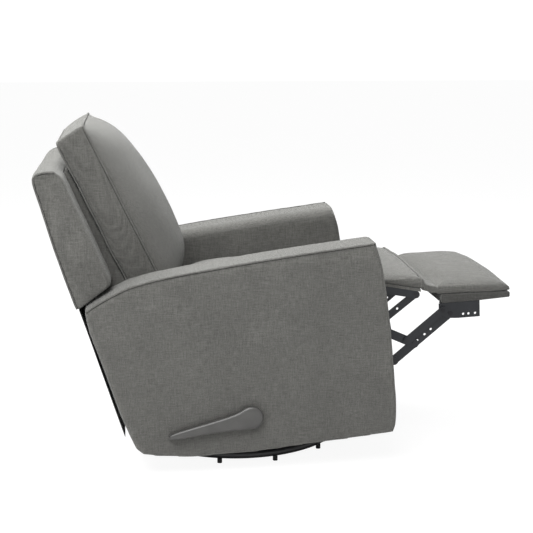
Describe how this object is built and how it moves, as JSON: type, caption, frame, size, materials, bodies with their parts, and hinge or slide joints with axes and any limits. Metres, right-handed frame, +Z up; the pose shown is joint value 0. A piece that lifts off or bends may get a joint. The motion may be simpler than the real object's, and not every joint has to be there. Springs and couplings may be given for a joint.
{
  "type": "swivel glider recliner",
  "caption": "Upholstered recliner on a ring base: the seat swivels and glides, the back reclines, and a side handle folds the footrest in and out.",
  "frame": {"origin": "on the floor, on the swivel axis at the centre of the ring of glides", "axes": "+X towards the front of the chair, where the footrest opens; +Y to the sitter's left; +Z up along the swivel axis"},
  "size_m": [1.3561, 0.8265, 0.9719],
  "materials": {
    "base_steel": "satin black paint",
    "pin_steel": "dark zinc",
    "link_steel": "satin black coat",
    "glide_plastic": "black nylon",
    "handle_plastic": "fine grained grey",
    "frame_wood": "raw plywood",
    "board_cover": "woven over board",
    "spring_steel": "oiled wire",
    "black_cloth": "thin black cloth",
    "upholstery": "grey woven"
  },
  "bodies": {
    "floor_base": {"base_ring": "base_steel", "floor_glides": "glide_plastic", "cross_arms": "base_steel", "swivel_lower_plate": "base_steel", "swivel_bolt": "pin_steel"},
    "swivel_base": {"swivel_upper_plate": "base_steel", "swivel_balls": "pin_steel", "glider_base_tubes": "base_steel", "right_glider_plate": "base_steel", "left_glider_plate": "base_steel", "upper_hanger_pins": "pin_steel"},
    "front_hangers": {"front_hangers": "base_steel"},
    "rear_hangers": {"rear_hangers": "base_steel"},
    "platform": {"right_platform_plate": "base_steel", "left_platform_plate": "base_steel", "platform_tubes": "base_steel", "lower_hanger_pins": "pin_steel"},
    "seat_box": {"right_arm_cover": "upholstery", "left_arm_cover": "upholstery", "right_arm_frame": "frame_wood", "left_arm_frame": "frame_wood", "right_seat_side_plate": "link_steel", "left_seat_side_plate": "link_steel", "tilt_pins": "pin_steel", "seat_frame": "frame_wood", "seat_springs": "spring_steel", "seat_cushion": "upholstery", "rear_rail": "frame_wood", "rear_cloth": "black_cloth", "side_plate_rivets": "pin_steel", "recline_pins": "pin_steel"},
    "backrest": {"outer_back_cover": "upholstery", "back_frame": "frame_wood", "back_filler": "upholstery", "back_cushion": "upholstery", "back_brackets": "link_steel", "back_springs": "spring_steel"},
    "lower_links": {"right_lower_link": "link_steel", "left_lower_link": "link_steel", "torque_tube": "link_steel", "lower_link_rivets": "pin_steel"},
    "upper_links": {"right_upper_link": "link_steel", "left_upper_link": "link_steel", "upper_link_rivets": "pin_steel"},
    "long_bars": {"right_long_bar": "link_steel", "left_long_bar": "link_steel", "long_bar_rivets": "pin_steel"},
    "thin_bars": {"thin_bars": "link_steel"},
    "mid_bars": {"mid_bars": "link_steel"},
    "mid_rest": {"mid_brackets": "link_steel", "mid_board": "board_cover", "mid_pad": "upholstery", "mid_rest_rivets": "pin_steel"},
    "footrest": {"footrest_brackets": "link_steel", "footrest_board": "board_cover", "footrest_pad": "upholstery", "footrest_rivets": "pin_steel"},
    "handle": {"release_handle": "handle_plastic", "handle_shaft": "pin_steel", "handle_crank": "link_steel"}
  },
  "joints": [
    {"name": "swivel", "type": "hinge", "parent": "floor_base", "child": "swivel_base", "pos_m": [0, 0, 0], "axis": [0, 0, 1], "continuous": true},
    {"name": "glide", "type": "hinge", "parent": "swivel_base", "child": "front_hangers", "pos_m": [0.12, 0, 0.23], "axis": [0, 1, 0], "range_deg": [-12, 12]},
    {"name": "rear_hanger_swing", "type": "hinge", "parent": "swivel_base", "child": "rear_hangers", "pos_m": [-0.12, 0, 0.23], "axis": [0, 1, 0], "range_deg": [-12, 12]},
    {"name": "platform_level", "type": "hinge", "parent": "front_hangers", "child": "platform", "pos_m": [0.12, 0, 0.11], "axis": [0, 1, 0], "range_deg": [-12, 12]},
    {"name": "seat_tilt", "type": "hinge", "parent": "platform", "child": "seat_box", "pos_m": [-0.15, 0, 0.16], "axis": [0, 1, 0], "range_deg": [0, 2.94]},
    {"name": "back_recline", "type": "hinge", "parent": "seat_box", "child": "backrest", "pos_m": [-0.277, 0, 0.29368], "axis": [0, -1, 0], "range_deg": [-4, 20], "deforming": ["rear_cloth"]},
    {"name": "footrest_fold", "type": "hinge", "parent": "seat_box", "child": "lower_links", "pos_m": [0.20755, 0, 0.37356], "axis": [0, 1, 0], "range_deg": [0, 90]},
    {"name": "upper_link_swing", "type": "hinge", "parent": "seat_box", "child": "upper_links", "pos_m": [0.26707, 0, 0.42366], "axis": [0, 1, 0], "range_deg": [0, 90]},
    {"name": "long_bar_swing", "type": "hinge", "parent": "lower_links", "child": "long_bars", "pos_m": [0.44013, 0, 0.27031], "axis": [0, 1, 0], "range_deg": [-90, 0]},
    {"name": "footrest_turn", "type": "hinge", "parent": "long_bars", "child": "footrest", "pos_m": [0.60526, 0, 0.40893], "axis": [0, 1, 0], "range_deg": [0, 90]},
    {"name": "thin_bar_swing", "type": "hinge", "parent": "upper_links", "child": "thin_bars", "pos_m": [0.47607, 0, 0.33123], "axis": [0, 1, 0], "range_deg": [-90, 0]},
    {"name": "mid_bar_swing", "type": "hinge", "parent": "upper_links", "child": "mid_bars", "pos_m": [0.41262, 0, 0.39707], "axis": [0, 1, 0], "range_deg": [-90, 0]},
    {"name": "mid_rest_turn", "type": "hinge", "parent": "seat_box", "child": "mid_rest", "pos_m": [0.35557, 0, 0.49428], "axis": [0, 1, 0], "range_deg": [0, 90]},
    {"name": "handle_turn", "type": "hinge", "parent": "seat_box", "child": "handle", "pos_m": [-0.0003, 0, 0.16967], "axis": [0, 1, 0], "range_deg": [0, 135]}
  ],
  "couplings": [
    {"joint": "rear_hanger_swing", "follows": "glide", "ratio": 1},
    {"joint": "platform_level", "follows": "glide", "ratio": -1},
    {"joint": "seat_tilt", "follows": "footrest_fold", "ratio": 0.032556},
    {"joint": "upper_link_swing", "follows": "footrest_fold", "ratio": 1},
    {"joint": "long_bar_swing", "follows": "footrest_fold", "ratio": -1},
    {"joint": "footrest_turn", "follows": "footrest_fold", "ratio": 1},
    {"joint": "thin_bar_swing", "follows": "footrest_fold", "ratio": -1},
    {"joint": "mid_bar_swing", "follows": "footrest_fold", "ratio": -1},
    {"joint": "mid_rest_turn", "follows": "footrest_fold", "ratio": 1},
    {"joint": "handle_turn", "follows": "footrest_fold", "ratio": 1.5}
  ]
}
